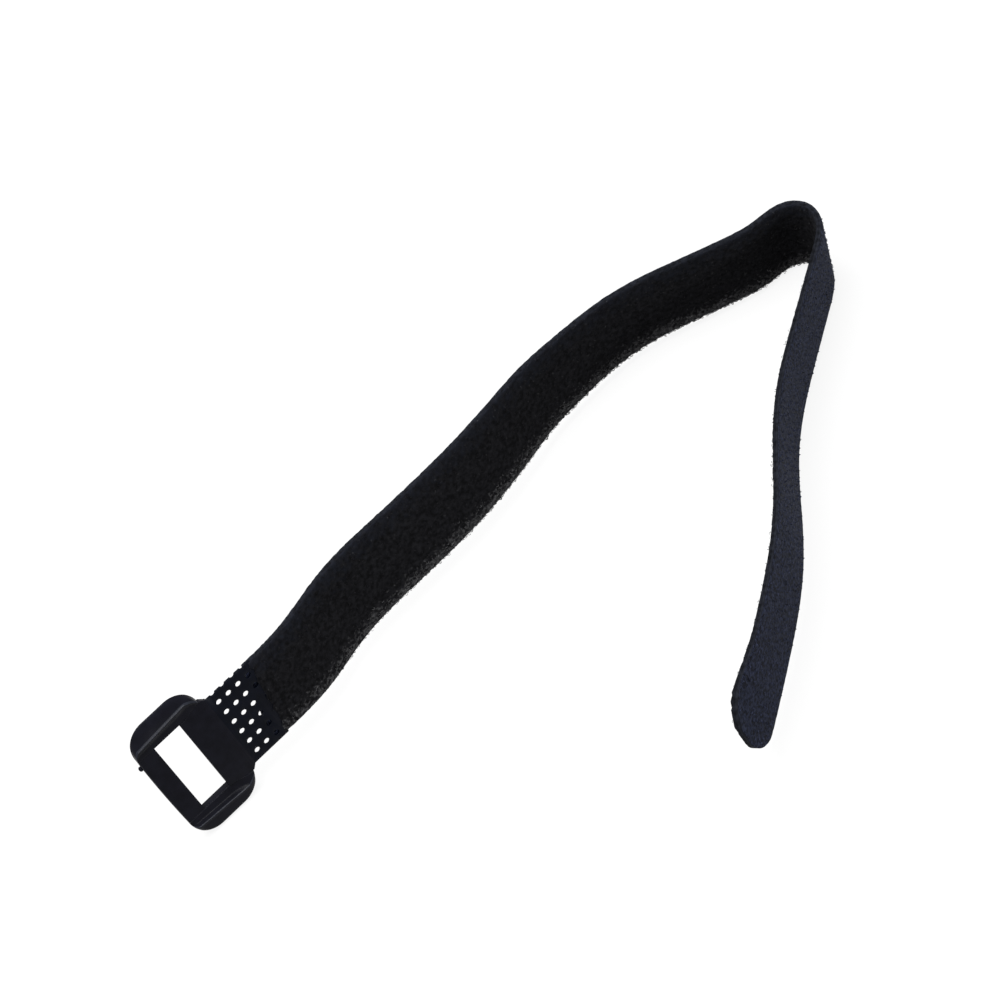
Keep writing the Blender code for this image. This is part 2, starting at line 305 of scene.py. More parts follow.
def rounded(corners, radii, steps=SECTION_STEPS):
    """Points of a polygon whose corners are eased over the given lengths."""
    points = []
    for index, (corner, radius) in enumerate(zip(corners, radii)):
        before = Vector(corners[index - 1])
        corner = Vector(corner)
        after = Vector(corners[(index + 1) % len(corners)])
        start = corner + (before - corner).normalized() * min(radius, 0.45 * (before - corner).length)
        end = corner + (after - corner).normalized() * min(radius, 0.45 * (after - corner).length)
        for step in range(steps + 1):
            share = step / steps
            points.append(start.lerp(corner, share).lerp(corner.lerp(end, share), share))
    return points


def extrude_through(bm, sections):
    """Starts a face on the first section and extrudes it through the others."""
    mark = bm.verts.layers.int.get("corner") or bm.verts.layers.int.new("corner")
    verts = [bm.verts.new(co) for co in sections[0]]
    for index, vert in enumerate(verts):
        vert[mark] = index
    face = bm.faces.new(verts)
    for section in sections[1:]:
        made = bmesh.ops.extrude_face_region(bm, geom=[face])["geom"]
        face = next(item for item in made if isinstance(item, bmesh.types.BMFace))
        for vert in face.verts:
            vert.co = section[vert[mark]]
    shell = {item for vert in face.verts for item in vert.link_faces}
    growing = True
    while growing:
        wider = {item for member in shell for edge in member.edges for item in edge.link_faces}
        growing = len(wider) > len(shell)
        shell = wider
    bmesh.ops.recalc_face_normals(bm, faces=list(shell))


def ring_places(sizes):
    """Places of the slot's rear and front and of the ring's front."""
    slot_rear = -sizes.plate_length
    slot_front = slot_rear - sizes.slot_length
    return slot_rear, slot_front, slot_front - sizes.bar_length


def rib_edge(sizes, place):
    """How far out the rib's round outline reaches at a place along the tape."""
    front = ring_places(sizes)[2]
    outer = sizes.slot_half + sizes.rib_width
    past = max(front + sizes.rib_radius - place, place - (RIB_REAR - sizes.rib_radius), 0.0)
    past = min(past, sizes.rib_radius)
    return outer - sizes.rib_radius + math.sqrt(sizes.rib_radius ** 2 - past ** 2)


def plate_edge(sizes, place):
    """Half width of the plate, which widens from the slot towards the web."""
    slot_rear = ring_places(sizes)[0]
    return sizes.slot_half + EDGE_CLEARANCE + PLATE_FLARE * ease(slot_rear, RIB_REAR, place)


def rib_section(sizes, side, place):
    """Section of a side rib: an inner land, a crisp ridge and an outer slope, lower on the upper rib."""
    slot_rear, _, front = ring_places(sizes)
    outer = rib_edge(sizes, place)
    run = (place - front) / (RIB_REAR - front)
    from_end = min(place - front, RIB_REAR - place)
    rise = math.sqrt(1 - (1 - min(from_end / RIB_END, 1.0)) ** 2)
    inner = sizes.slot_half
    ridge = inner + mix(RIDGE_FRONT, RIDGE_REAR, run)
    ridge = min(ridge, mix(inner, outer, RIDGE_SHARE), outer - RIDGE_MARGIN)
    lip = min(plate_edge(sizes, place) - 0.0002, ridge) if place > slot_rear else inner
    back = -RING_BACK + RIB_END_LIFT * (1 - rise)
    land = mix(LAND_FRONT, LAND_REAR, ease(slot_rear - 0.001, RIB_REAR, place))
    top = SLOPE_TOP + (sizes.ridge_height - SLOPE_TOP) * (0.25 + 0.75 * rise)
    if side > 0:
        slope_top = SLOPE_TOP / 2 - 0.0008 * (1 - rise)
        shoulder = ((outer - 0.0003, mix(back, slope_top, 0.62)), (mix(ridge, outer, 0.62), slope_top))
    else:
        slope_top = SLOPE_TOP - 0.0009 * (1 - rise)
        shoulder = ((outer, slope_top - 0.0002), (outer - 0.0004, slope_top + 0.0002))
    land_end = mix(lip, ridge, 0.62)
    crest_out = min(CREST_OUT, 0.3 * (outer - ridge))
    crest_in = min(CREST_IN, 0.3 * (ridge - lip))
    corners = (
        (inner, back),
        (outer - BACK_CHAMFER, back),
        (outer, back + BACK_CHAMFER),
        *shoulder,
        (ridge + crest_out, top - 0.38 * crest_out),
        (mix(ridge, ridge - crest_in, 0.22), top),
        (ridge - crest_in, top - 0.25 * crest_in),
        (land_end, min(land + 0.00005, top)),
        (lip + 0.0001, min(land, top)),
        (lip, min(land, top) - 0.0002),
    )
    easings = (0.0008, 0.0012) if side > 0 else (0.0004, 0.0004)
    radii = (0.0002, 0.0006, 0.0006, *easings, 0.0002, 0.0001, 0.0001, 0.0004, 0.0002, 0.0002)
    outline = rounded(corners, radii)
    return [Vector((place, side * across, WEB_BACK + height)) for across, height in outline]


def paint_ridge_highlight(bm):
    """Gives the third material, a painted highlight in a brighter colour, to the narrow facets that face
    up along the ribs' ridges.
    """
    mark = bm.verts.layers.int["corner"]
    each = SECTION_STEPS + 1
    for face in bm.faces:
        outer_corner = 5 if face.calc_center_median().y > 0 else 6
        first, last = each * outer_corner + 1, each * (outer_corner + 2) - 2
        if len(face.verts) == 4 and all(first <= vert[mark] <= last for vert in face.verts):
            face.material_index = 2


def rib_stations(sizes):
    """Places of the rib's sections, close together where its ends are round."""
    front = ring_places(sizes)[2]
    radius = sizes.rib_radius
    turn = [1 - math.cos(math.radians(angle)) for angle in range(4, 90, 5)]
    first = [front + radius * share for share in turn]
    last = [RIB_REAR - radius * share for share in reversed(turn)]
    middle = [mix(front + radius, RIB_REAR - radius, step / 12) for step in range(13)]
    return [front + 1e-6] + first + middle + last + [RIB_REAR - 1e-6]


def add_bar(bm, sizes):
    """Front bar: flat above, with round long edges and a slightly bowed front."""
    _, slot_front, front = ring_places(sizes)
    sections = []
    for step in range(25):
        across = mix(-1, 1, step / 24)
        nose = front - BAR_BOW * (1 - across ** 2)
        back = -RING_BACK + BAR_LIFT
        corners = ((slot_front, back), (slot_front, BAR_TOP), (nose, BAR_TOP), (nose, back))
        outline = rounded(corners, (0.0003, 0.0002, 0.0006, 0.0006), 4)
        y = across * (sizes.slot_half + BAR_OVERLAP)
        sections.append([Vector((x, y, WEB_BACK + z)) for x, z in outline])
    extrude_through(bm, sections)


def add_plate(bm, sizes):
    """Plate across the rear of the ring, widening towards the web and eased at both ends."""
    slot_rear = ring_places(sizes)[0]
    sections = []
    for place, ease_in in (
        (0.0, 0.00018), (0.012, 0.00008), (0.04, 0.00003), (0.1, 0.0), (0.25, 0.0), (0.4, 0.0),
        (0.55, 0.0), (0.7, 0.0), (0.84, 0.0), (0.92, 0.00002), (0.97, 0.00008), (1.0, 0.00018),
    ):
        x = mix(slot_rear, 0.0, place)
        half = plate_edge(sizes, x) - ease_in
        if x > RIB_REAR:
            half = mix(half, sizes.slot_half + WEB_MARGIN, ease(RIB_REAR, 0.0, x))
        top = PLATE_TOP - ease_in
        corners = ((-half, -top), (half, -top), (half, top), (-half, top))
        outline = rounded(corners, (0.0002,) * 4, 3)
        sections.append([Vector((x, y, WEB_BACK + z)) for y, z in outline])
    extrude_through(bm, sections)


def add_gate_mark(bm, sizes):
    """Small nub of flash that the mould leaves under the front bar."""
    front = ring_places(sizes)[2]
    place = Matrix.Translation((front - 0.0003, 0.0079, WEB_BACK - 0.0008))
    shape = Matrix.Diagonal((0.00045, 0.00065, 0.00045, 1.0))
    bmesh.ops.create_icosphere(bm, subdivisions=3, radius=1.0, matrix=place @ shape)


def web_end(across, half):
    """Where the web ends at a place across the tape."""
    return mix(WEB_LENGTH_LOWER, WEB_LENGTH_UPPER, across / half / 2 + 0.5)


def hole_centres(sizes, half):
    """Centres of the web's holes; the first column is cut open by the upper edge."""
    for row in range(HOLE_ROWS):
        for column in range(HOLE_COLUMNS):
            along = FIRST_ROW + row * sizes.hole_along
            across = half + (NOTCH_PLACE if column == 0 else CUT_OPEN) - column * sizes.hole_across
            if along + sizes.hole_diameter / 2 + HOLE_MARGIN < web_end(across, half):
                yield Vector((along, across, 0))


def web_mesh(sizes):
    """Thin web with rows of holes, cut into strips across so that it can bend."""
    half = sizes.slot_half + WEB_MARGIN
    bm = bmesh.new()
    bmesh.ops.create_cube(bm, size=1.0)
    for vert in bm.verts:
        across = math.copysign(half, vert.co.y)
        place = web_end(across, half) if vert.co.x > 0 else -WEB_OVERLAP
        vert.co = (place, across, WEB_BACK + (WEB_THICKNESS if vert.co.z > 0 else 0.0))
    blank = bpy.data.meshes.new("web_blank")
    bm.to_mesh(blank)
    bm.free()
    cutter = bmesh.new()
    radius = sizes.hole_diameter / 2
    for centre in hole_centres(sizes, half):
        bmesh.ops.create_cone(
            cutter, cap_ends=True, segments=20, radius1=radius, radius2=radius, depth=0.004,
            matrix=Matrix.Translation(centre),
        )
    holes = bpy.data.meshes.new("web_holes")
    cutter.to_mesh(holes)
    cutter.free()
    web = bpy.data.objects.new("web_blank", blank)
    tool = bpy.data.objects.new("web_holes", holes)
    for obj in (web, tool):
        bpy.context.scene.collection.objects.link(obj)
    cut = web.modifiers.new("holes", "BOOLEAN")
    cut.operation = "DIFFERENCE"
    cut.solver = "EXACT"
    cut.object = tool
    rim = web.modifiers.new("rims", "BEVEL")
    rim.width = 0.00008
    rim.segments = 2
    rim.limit_method = "ANGLE"
    rim.angle_limit = math.radians(50)
    graph = bpy.context.evaluated_depsgraph_get()
    finished = bpy.data.meshes.new_from_object(web.evaluated_get(graph))
    for obj in (web, tool):
        bpy.data.objects.remove(obj)
    bm = bmesh.new()
    bm.from_mesh(finished)
    for step in range(1, math.ceil(WEB_LENGTH_UPPER / WEB_CUT)):
        geometry = bm.verts[:] + bm.edges[:] + bm.faces[:]
        place = (step * WEB_CUT, 0, 0)
        bmesh.ops.bisect_plane(bm, geom=geometry, dist=1e-7, plane_co=place, plane_no=(1, 0, 0))
    for face in bm.faces:
        face.material_index = 1
    bm.to_mesh(finished)
    bm.free()
    return finished


# Materials


def start_material(name, colour, roughness, specular):
    material = bpy.data.materials.new(name)
    material.use_nodes = True
    shader = material.node_tree.nodes["Principled BSDF"]
    shader.inputs["Base Color"].default_value = (*colour, 1.0)
    shader.inputs["Roughness"].default_value = roughness
    shader.inputs["Specular IOR Level"].default_value = specular
    return material, shader


def add_noise(tree, scale, detail):
    """Noise on Object coordinates; the scale is in turns for each metre."""
    coordinates = tree.nodes.new("ShaderNodeTexCoord")
    texture = tree.nodes.new("ShaderNodeTexNoise")
    texture.inputs["Scale"].default_value = scale
    texture.inputs["Detail"].default_value = detail
    tree.links.new(coordinates.outputs["Object"], texture.inputs["Vector"])
    return texture.outputs["Fac"]


def ramp_colours(tree, fac, low, high, start=0.35, end=0.65):
    ramp = tree.nodes.new("ShaderNodeValToRGB")
    ramp.color_ramp.elements[0].position = start
    ramp.color_ramp.elements[0].color = (*low, 1.0)
    ramp.color_ramp.elements[1].position = end
    ramp.color_ramp.elements[1].color = (*high, 1.0)
    tree.links.new(fac, ramp.inputs["Fac"])
    return ramp.outputs["Color"]


def map_range(tree, value, low, high):
    node = tree.nodes.new("ShaderNodeMapRange")
    node.inputs["To Min"].default_value = low
    node.inputs["To Max"].default_value = high
    tree.links.new(value, node.inputs["Value"])
    return node.outputs["Result"]


def add_bump(tree, height, distance, strength=1.0, normal=None):
    bump = tree.nodes.new("ShaderNodeBump")
    bump.inputs["Distance"].default_value = distance
    bump.inputs["Strength"].default_value = strength
    tree.links.new(height, bump.inputs["Height"])
    if normal is not None:
        tree.links.new(normal, bump.inputs["Normal"])
    return bump.outputs["Normal"]


def shaded(colour, factor):
    return tuple(min(channel * factor, 1.0) for channel in colour)


def satin_plastic(name, colour, specular=0.05):
    """Black moulded plastic: fine spark texture, slow sink waves and slightly uneven gloss."""
    material, shader = start_material(name, colour, 0.25, specular)
    tree = material.node_tree
    tint = ramp_colours(tree, add_noise(tree, 420.0, 4.0), shaded(colour, 0.8), shaded(colour, 1.25))
    tree.links.new(tint, shader.inputs["Base Color"])
    gloss = map_range(tree, add_noise(tree, 900.0, 3.0), 0.20, 0.30)
    tree.links.new(gloss, shader.inputs["Roughness"])
    waves = add_bump(tree, add_noise(tree, 260.0, 2.0), 0.00004)
    sparks = add_bump(tree, add_noise(tree, 5200.0, 2.0), 0.000012, 0.7, waves)
    tree.links.new(sparks, shader.inputs["Normal"])
    return material


def from_place(tree, place, low, high, reach):
    """Rises from 0 to reach between two places along or across the flat tape."""
    node = tree.nodes.new("ShaderNodeMapRange")
    node.inputs["From Min"].default_value = low
    node.inputs["From Max"].default_value = high
    node.inputs["To Max"].default_value = reach
    tree.links.new(place, node.inputs["Value"])
    return node.outputs["Result"]


def sum_of(tree, *values):
    """Adds up values with Math nodes."""
    total = values[0]
    for value in values[1:]:
        node = tree.nodes.new("ShaderNodeMath")
        node.operation = "ADD"
        tree.links.new(total, node.inputs[0])
        tree.links.new(value, node.inputs[1])
        total = node.outputs["Value"]
    return total


def blend_colours(tree, share, base, colour):
    """Blends from the colour of a socket to a fixed colour."""
    node = tree.nodes.new("ShaderNodeMix")
    node.data_type = "RGBA"
    node.inputs[7].default_value = (*colour, 1.0)
    tree.links.new(share, node.inputs[0])
    tree.links.new(base, node.inputs[6])
    return node.outputs[2]


def pile_fabric(name, colour, worn_colour, bare_colour):
    """Matted pile: clumps and fibres, thin along the upper edge and worn pale along the lower edge."""
    material, shader = start_material(name, colour, 0.95, 0.04)
    shader.inputs["Sheen Weight"].default_value = 0.01
    shader.inputs["Sheen Roughness"].default_value = 0.6
    tree = material.node_tree
    dark, light = shaded(colour, 0.5), shaded(colour, 1.6)
    tint = ramp_colours(tree, add_noise(tree, 1050.0, 5.0), dark, light, 0.38, 0.66)
    uv = tree.nodes.new("ShaderNodeUVMap")
    uv.uv_map = "flat"
    parts = tree.nodes.new("ShaderNodeSeparateXYZ")
    tree.links.new(uv.outputs["UV"], parts.inputs["Vector"])
    along, across = parts.outputs["X"], parts.outputs["Y"]
    thin = sum_of(tree, from_place(tree, across, 0.0030, 0.0100, 0.42), add_noise(tree, 750.0, 5.0))
    tint = blend_colours(tree, from_place(tree, thin, 0.62, 1.05, 1.0), tint, bare_colour)
    wear = from_place(tree, along, 0.060, 0.130, 0.03)
    near_edge = from_place(tree, across, -0.0048, -0.0098, 0.29)
    tufts = sum_of(tree, near_edge, wear, add_noise(tree, 1300.0, 5.0))
    tint = blend_colours(tree, from_place(tree, tufts, 0.66, 0.90, 1.0), tint, worn_colour)
    tree.links.new(tint, shader.inputs["Base Color"])
    clumps = add_bump(tree, add_noise(tree, 900.0, 3.0), 0.0003)
    fibres = add_bump(tree, add_noise(tree, 4200.0, 4.0), 0.00012, 0.9, clumps)
    tree.links.new(fibres, shader.inputs["Normal"])
    return material


def woven_ground(name, colour):
    """Woven nylon ground of the hook tape, from the piece's own UV map in metres along and across."""
    material, shader = start_material(name, colour, 0.7, 0.06)
    tree = material.node_tree
    uv = tree.nodes.new("ShaderNodeUVMap")
    uv.uv_map = "flat"
    heights = []
    for direction, pitch in (("X", 0.00042), ("Y", 0.00056)):
        wave = tree.nodes.new("ShaderNodeTexWave")
        wave.bands_direction = direction
        wave.inputs["Scale"].default_value = math.pi / 10 / pitch
        wave.inputs["Distortion"].default_value = 1.6
        wave.inputs["Detail"].default_value = 2.0
        wave.inputs["Detail Scale"].default_value = 2.0
        tree.links.new(uv.outputs["UV"], wave.inputs["Vector"])
        heights.append(wave.outputs["Fac"])
    weave = tree.nodes.new("ShaderNodeMath")
    weave.operation = "MULTIPLY"
    tree.links.new(heights[0], weave.inputs[0])
    tree.links.new(heights[1], weave.inputs[1])
    speckle = tree.nodes.new("ShaderNodeMath")
    speckle.operation = "MULTIPLY_ADD"
    tree.links.new(weave.outputs["Value"], speckle.inputs[0])
    speckle.inputs[1].default_value = 0.55
    tree.links.new(map_range(tree, add_noise(tree, 1500.0, 4.0), -1.5, 1.9), speckle.inputs[2])
    dark, light = shaded(colour, 0.25), shaded(colour, 2.5)
    tint = ramp_colours(tree, speckle.outputs["Value"], dark, light, 0.0, 0.95)
    tree.links.new(tint, shader.inputs["Base Color"])
    threads = add_bump(tree, weave.outputs["Value"], 0.00022)
    fibres = add_bump(tree, add_noise(tree, 3600.0, 3.0), 0.0001, 0.8, threads)
    tree.links.new(fibres, shader.inputs["Normal"])
    return material


def fibre(name, colour, roughness, spread_low, spread_high):
    """Fine filament whose shade changes from strand to strand."""
    material, shader = start_material(name, colour, roughness, 0.07)
    tree = material.node_tree
    dark, light = shaded(colour, spread_low), shaded(colour, spread_high)
    tint = ramp_colours(tree, add_noise(tree, 1100.0, 2.0), dark, light)
    tree.links.new(tint, shader.inputs["Base Color"])
    tree.links.new(add_bump(tree, add_noise(tree, 7000.0, 1.0), 0.00002), shader.inputs["Normal"])
    return material


# Shapes of the tapes


def waviness(x, y, seed):
    """Slow and fine unevenness at a place of a tape."""
    slow = noise.noise(Vector((x * 900 + seed, y * 900, 0)))
    return slow + 0.5 * noise.noise(Vector((x * 2300, y * 2300, seed)))


def tape_shell(tape, start_lower, start_upper, back, front, bulge, seed, ragged):
    """A tape from its bonded back to its uneven front, round at its tip and laid along the bends."""
    half = tape.width / 2
    radius = tape.tip_radius
    bm = bmesh.new()
    columns = round(tape.length / GRID_LENGTH)
    bmesh.ops.create_grid(bm, x_segments=columns, y_segments=GRID_ROWS, size=1.0)
    flat = bm.loops.layers.uv.new("flat")
    tip_start = tape.length - radius
    for vert in bm.verts:
        share_along, share_across = (vert.co.x + 1) / 2, vert.co.y
        share_across = math.sin(share_across * math.pi / 2) * 0.35 + share_across * 0.65
        start = mix(start_lower, start_upper, share_across / 2 + 0.5)
        start += ragged * noise.noise(Vector((share_across * 9, seed, 0.5)))
        straight = tip_start - start
        run = share_along * (straight + radius * math.pi / 2)
        if run <= straight:
            x, reach = start + run, half
        else:
            angle = (run - straight) / radius
            x = tip_start + radius * math.sin(angle)
            reach = half - radius + radius * max(math.cos(angle), 0.0)
        vert.co = (x, share_across * reach, front)
    for face in bm.faces:
        for loop in face.loops:
            loop[flat].uv = (loop.vert.co.x, loop.vert.co.y)
    front_verts = bm.verts[:]
    made = bmesh.ops.extrude_face_region(bm, geom=bm.faces[:], use_keep_orig=True)["geom"]
    for vert in made:
        if isinstance(vert, bmesh.types.BMVert):
            vert.co.z = back
    for vert in front_verts:
        x, y = vert.co.x, vert.co.y
        edge = ease(0.0, SOFT_EDGE, min(half - abs(y), tape.length - x + 0.0002))
        drop = math.copysign(EDGE_DROP, front) * (1 - edge)
        vert.co.z += waviness(x, y, seed) * bulge * (0.35 + 0.65 * edge) - drop
        vert.co.y += 0.00012 * noise.noise(Vector((x * 1500, seed, y * 40))) * (1 - edge)
    bmesh.ops.recalc_face_normals(bm, faces=bm.faces)
    for face in bm.faces:
        if abs(face.normal.z) < 0.75:
            face.material_index = 1
    for vert in bm.verts:
        vert.co = laid(vert.co, half)
    return bm


def thread_template(radius, rise, arc_radius, turn, steps, sides):
    """One small loop or hook: a thread that rises and is spun over."""
    bm = bmesh.new()
    bmesh.ops.create_circle(bm, cap_ends=False, segments=sides, radius=radius)
    edges = bm.edges[:]
    if rise > 0:
        made = bmesh.ops.extrude_edge_only(bm, edges=edges)["geom"]
        risen = [item for item in made if isinstance(item, bmesh.types.BMVert)]
        bmesh.ops.translate(bm, vec=(0, 0, rise), verts=risen)
        edges = [edge for edge in made if isinstance(edge, bmesh.types.BMEdge)]
    verts = [vert for vert in bm.verts if any(edge in edges for edge in vert.link_edges)]
    bmesh.ops.spin(
        bm, geom=verts + edges, cent=(arc_radius, 0, rise), axis=(0, 1, 0), angle=turn, steps=steps,
        use_merge=False, use_duplicate=False,
    )
    bmesh.ops.holes_fill(bm, edges=[edge for edge in bm.edges if edge.is_boundary], sides=sides)
    bmesh.ops.recalc_face_normals(bm, faces=bm.faces)
    mesh = bpy.data.meshes.new("thread_template")
    bm.to_mesh(mesh)
    bm.free()
    return mesh


def scatter(template, matrices):
    """One mesh with a copy of the template at each matrix."""
    bm = bmesh.new()
    for matrix in matrices:
        copy = template.copy()
        copy.transform(matrix)
        bm.from_mesh(copy)
        bpy.data.meshes.remove(copy)
    bpy.data.meshes.remove(template)
    return bm


def within_tip(tape, x, y, margin):
    """Whether a place lies on the tape, also where its tip is round."""
    radius = tape.tip_radius
    past = max(x - (tape.length - radius), 0.0)
    aside = max(abs(y) - (tape.width / 2 - radius), 0.0)
    return math.hypot(past, aside) < radius - margin


def turned(angle, axis):
    return Matrix.Rotation(angle, 4, axis)


class BuildMoulding(bpy.types.Operator):
    """Builds the ring, plate and perforated web of the buckle as one moulding"""

    bl_idname = "cable_tie.build_moulding"
    bl_label = "Buckle Moulding"

    def execute(self, context):
        sizes = context.scene.cable_tie_buckle
        half_tape = context.scene.cable_tie_tape.width / 2
        bm = bmesh.new()
        for side in (1, -1):
            extrude_through(bm, [rib_section(sizes, side, place) for place in rib_stations(sizes)])
        # Paints a highlight along the ridges with the third material.
        paint_ridge_highlight(bm)
        add_bar(bm, sizes)
        add_plate(bm, sizes)
        add_gate_mark(bm, sizes)
        web = web_mesh(sizes)
        bm.from_mesh(web)
        bpy.data.meshes.remove(web)
        for vert in bm.verts:
            vert.co = laid(vert.co, half_tape)
        materials = (
            satin_plastic("ring_plastic", sizes.ring_colour),
            satin_plastic("web_plastic", sizes.web_colour),
            # Third material: a painted highlight along the ridges, a brighter copy of the ring plastic.
            satin_plastic("ridge_highlight_plastic", sizes.ridge_highlight_colour, 0.11),
        )
        obj = new_piece("buckle_moulding", bm, materials)
        obj.data.set_sharp_from_angle(angle=math.radians(42))
        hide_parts("buckle")
        return {"FINISHED"}


class BuildLoopTape(bpy.types.Operator):
    """Builds the loop tape: a matted ground of pile with separate loops standing out of it"""

    bl_idname = "cable_tie.build_loop_tape"
    bl_label = "Loop Tape"

    def execute(self, context):
        tape = context.scene.cable_tie_tape
        half = tape.width / 2
        top = HALF_BOND + tape.loop_thickness
        ground = tape_shell(
            tape, LOOP_START_LOWER, LOOP_START_UPPER, -BOND_OVERLAP, top - 0.0001, 0.00022, 3.7, 0.0007
        )
        face = pile_fabric("loop_pile", tape.loop_colour, tape.fray_colour, tape.bare_colour)
        selvedge = fibre("loop_selvedge", tape.selvedge_colour, 0.8, 0.3, 1.1)
        obj = new_piece("loop_tape_ground", ground, (face, selvedge))
        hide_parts("loop_tape")
        chance = random.Random(11)
        matrices = []
        while len(matrices) < tape.pile_loops:
            x = chance.uniform(0.0085, tape.length - 0.0003)
            y = chance.uniform(-half, half)
            start = PILE_START + PILE_SLANT * (y / half / 2 + 0.5)
            if x < start or not within_tip(tape, x, y, 0.0002):
                continue
            lean = turned(chance.uniform(-1.1, 1.1), "X") @ turned(chance.uniform(-0.7, 0.7), "Y")
            turn = turned(chance.uniform(0, math.tau), "Z")
            size = Matrix.Scale(chance.uniform(0.7, 1.35), 4)
            matrices.append(laid_matrix(Vector((x, y, top - 0.00012)), half) @ turn @ lean @ size)
        template = thread_template(0.000038, 0.0, 0.0002, math.radians(180), 4, 3)
        pile_fibre = fibre("pile_fibre", tape.loop_colour, 0.8, 0.6, 2.4)
        pile = new_piece("loop_pile", scatter(template, matrices), (pile_fibre,))
        matrices = []
        while len(matrices) < tape.edge_loops:
            x = chance.triangular(FRAY_START, FRAY_END, FRAY_MOST)
            depth = min(abs(chance.gauss(0, 0.0012)), 0.0045)
            y = -half + depth
            z = chance.uniform(0.0, top) if depth < 0.0003 else top - 0.0001
            lean = turned(chance.uniform(0.2, 2.0), "X") @ turned(chance.uniform(-0.6, 0.6), "Y")
            size = Matrix.Scale(chance.uniform(0.7, 1.7), 4)
            turn = turned(chance.uniform(-0.5, 0.5), "Z")
            matrices.append(laid_matrix(Vector((x, y, z)), half) @ turn @ lean @ size)
        template = thread_template(0.000042, 0.00005, 0.00018, math.radians(180), 4, 3)
        fray_fibre = fibre("fray_fibre", tape.fray_colour, 0.8, 0.5, 1.8)
        fray = new_piece("frayed_edge", scatter(template, matrices), (fray_fibre,))
        return {"FINISHED"}


class BuildHookTape(bpy.types.Operator):
    """Builds the hook tape: a woven ground with staggered rows of small hooks"""

    bl_idname = "cable_tie.build_hook_tape"
    bl_label = "Hook Tape"

    def execute(self, context):
        tape = context.scene.cable_tie_tape
        half = tape.width / 2
        back = -HALF_BOND - tape.hook_thickness
        ground = tape_shell(
            tape, HOOK_START_LOWER, HOOK_START_UPPER, BOND_OVERLAP, back + 0.00005, -0.00005, 8.1, 0.0002
        )
        selvedge = fibre("hook_selvedge", tape.selvedge_colour, 0.8, 0.6, 1.5)
        face = woven_ground("hook_weave", tape.hook_colour)
        obj = new_piece("hook_tape_ground", ground, (face, selvedge))
        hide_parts("hook_tape")
        chance = random.Random(23)
        matrices = []
        flip = turned(math.pi, "X")
        rows = round((tape.length - HOOKS_SHORT) / HOOK_PITCH)
        for row in range(rows):
            for column in range(HOOK_COLUMNS):
                shift = HOOK_PITCH / 2 * (column % 2)
                x = FIRST_HOOK + row * HOOK_PITCH + shift + chance.gauss(0, 0.00035)
                share = column / (HOOK_COLUMNS - 1)
                y = mix(-half + HOOK_MARGIN, half - HOOK_MARGIN, share) + chance.gauss(0, 0.00025)
                if not within_tip(tape, x, y, 0.0007):
                    continue
                turn = turned(chance.gauss(0.0 if column % 2 else math.pi, 0.9), "Z")
                lean = turned(chance.gauss(0.15, 0.35), "Y")
                size = Matrix.Scale(chance.uniform(0.8, 1.15), 4)
                place = laid_matrix(Vector((x, y, back + 0.00015)), half)
                matrices.append(place @ flip @ turn @ lean @ size)
        template = thread_template(0.000080, 0.00012, 0.00015, math.radians(200), 4, 4)
        filament = fibre("hook_filament", tape.hook_colour, 0.5, 0.3, 3.6)
        hooks = new_piece("hooks", scatter(template, matrices), (filament,))
        return {"FINISHED"}


class BuildStage(bpy.types.Operator):
    """Sets the pale floor, the soft light and the camera"""

    bl_idname = "cable_tie.build_stage"
    bl_label = "Stage"

    def execute(self, context):
        levels = context.scene.cable_tie_stage
        bm = bmesh.new()
        bmesh.ops.create_grid(bm, x_segments=1, y_segments=1, size=FLOOR_HALF)
        mesh = bpy.data.meshes.new("floor")
        bm.to_mesh(mesh)
        bm.free()
        mesh.materials.append(floor_finish())
        floor = bpy.data.objects.new("floor", mesh)
        context.scene.collection.objects.link(floor)
        add_lamp(context.scene, "overhead_box", OVERHEAD_PLACE, OVERHEAD_SIZE, levels.lamp_power)
        add_lamp(context.scene, "front_box", FRONT_PLACE, FRONT_SIZE, levels.front_power)
        light_world(context.scene, levels.world_light)
        camera = bpy.data.cameras.new("camera")
        camera.lens = CAMERA_LENS
        camera.sensor_width = 36.0
        camera.clip_start = 0.01
        view = bpy.data.objects.new("camera", camera)
        tilt = turned(math.radians(CAMERA_TILT), "X")
        roll = turned(math.radians(CAMERA_ROLL), "Z")
        view.matrix_world = Matrix.Translation(CAMERA_PLACE) @ tilt @ roll
        context.scene.collection.objects.link(view)
        context.scene.camera = view
        context.scene.view_settings.view_transform = "Standard"
        return {"FINISHED"}


def add_lamp(scene, name, place, size, power):
    """A square soft box that faces the middle of the tie."""
    lamp = bpy.data.lights.new(name, "AREA")
    lamp.shape = "SQUARE"
    lamp.size = size
    lamp.energy = power
    holder = bpy.data.objects.new(name, lamp)
    holder.location = place
    holder.rotation_euler = (-Vector(place)).to_track_quat("-Z", "Y").to_euler()
    scene.collection.objects.link(holder)


def seen_directly(tree):
    """1 where the camera, a reflection or a clear material sees the surface, and 0 for its light."""
    path = tree.nodes.new("ShaderNodeLightPath")
    first = tree.nodes.new("ShaderNodeMath")
    first.operation = "MAXIMUM"
    second = tree.nodes.new("ShaderNodeMath")
    second.operation = "MAXIMUM"
    tree.links.new(path.outputs["Is Camera Ray"], first.inputs[0])
    tree.links.new(path.outputs["Is Glossy Ray"], first.inputs[1])
    tree.links.new(first.outputs["Value"], second.inputs[0])
    tree.links.new(path.outputs["Is Transmission Ray"], second.inputs[1])
    return second.outputs["Value"]


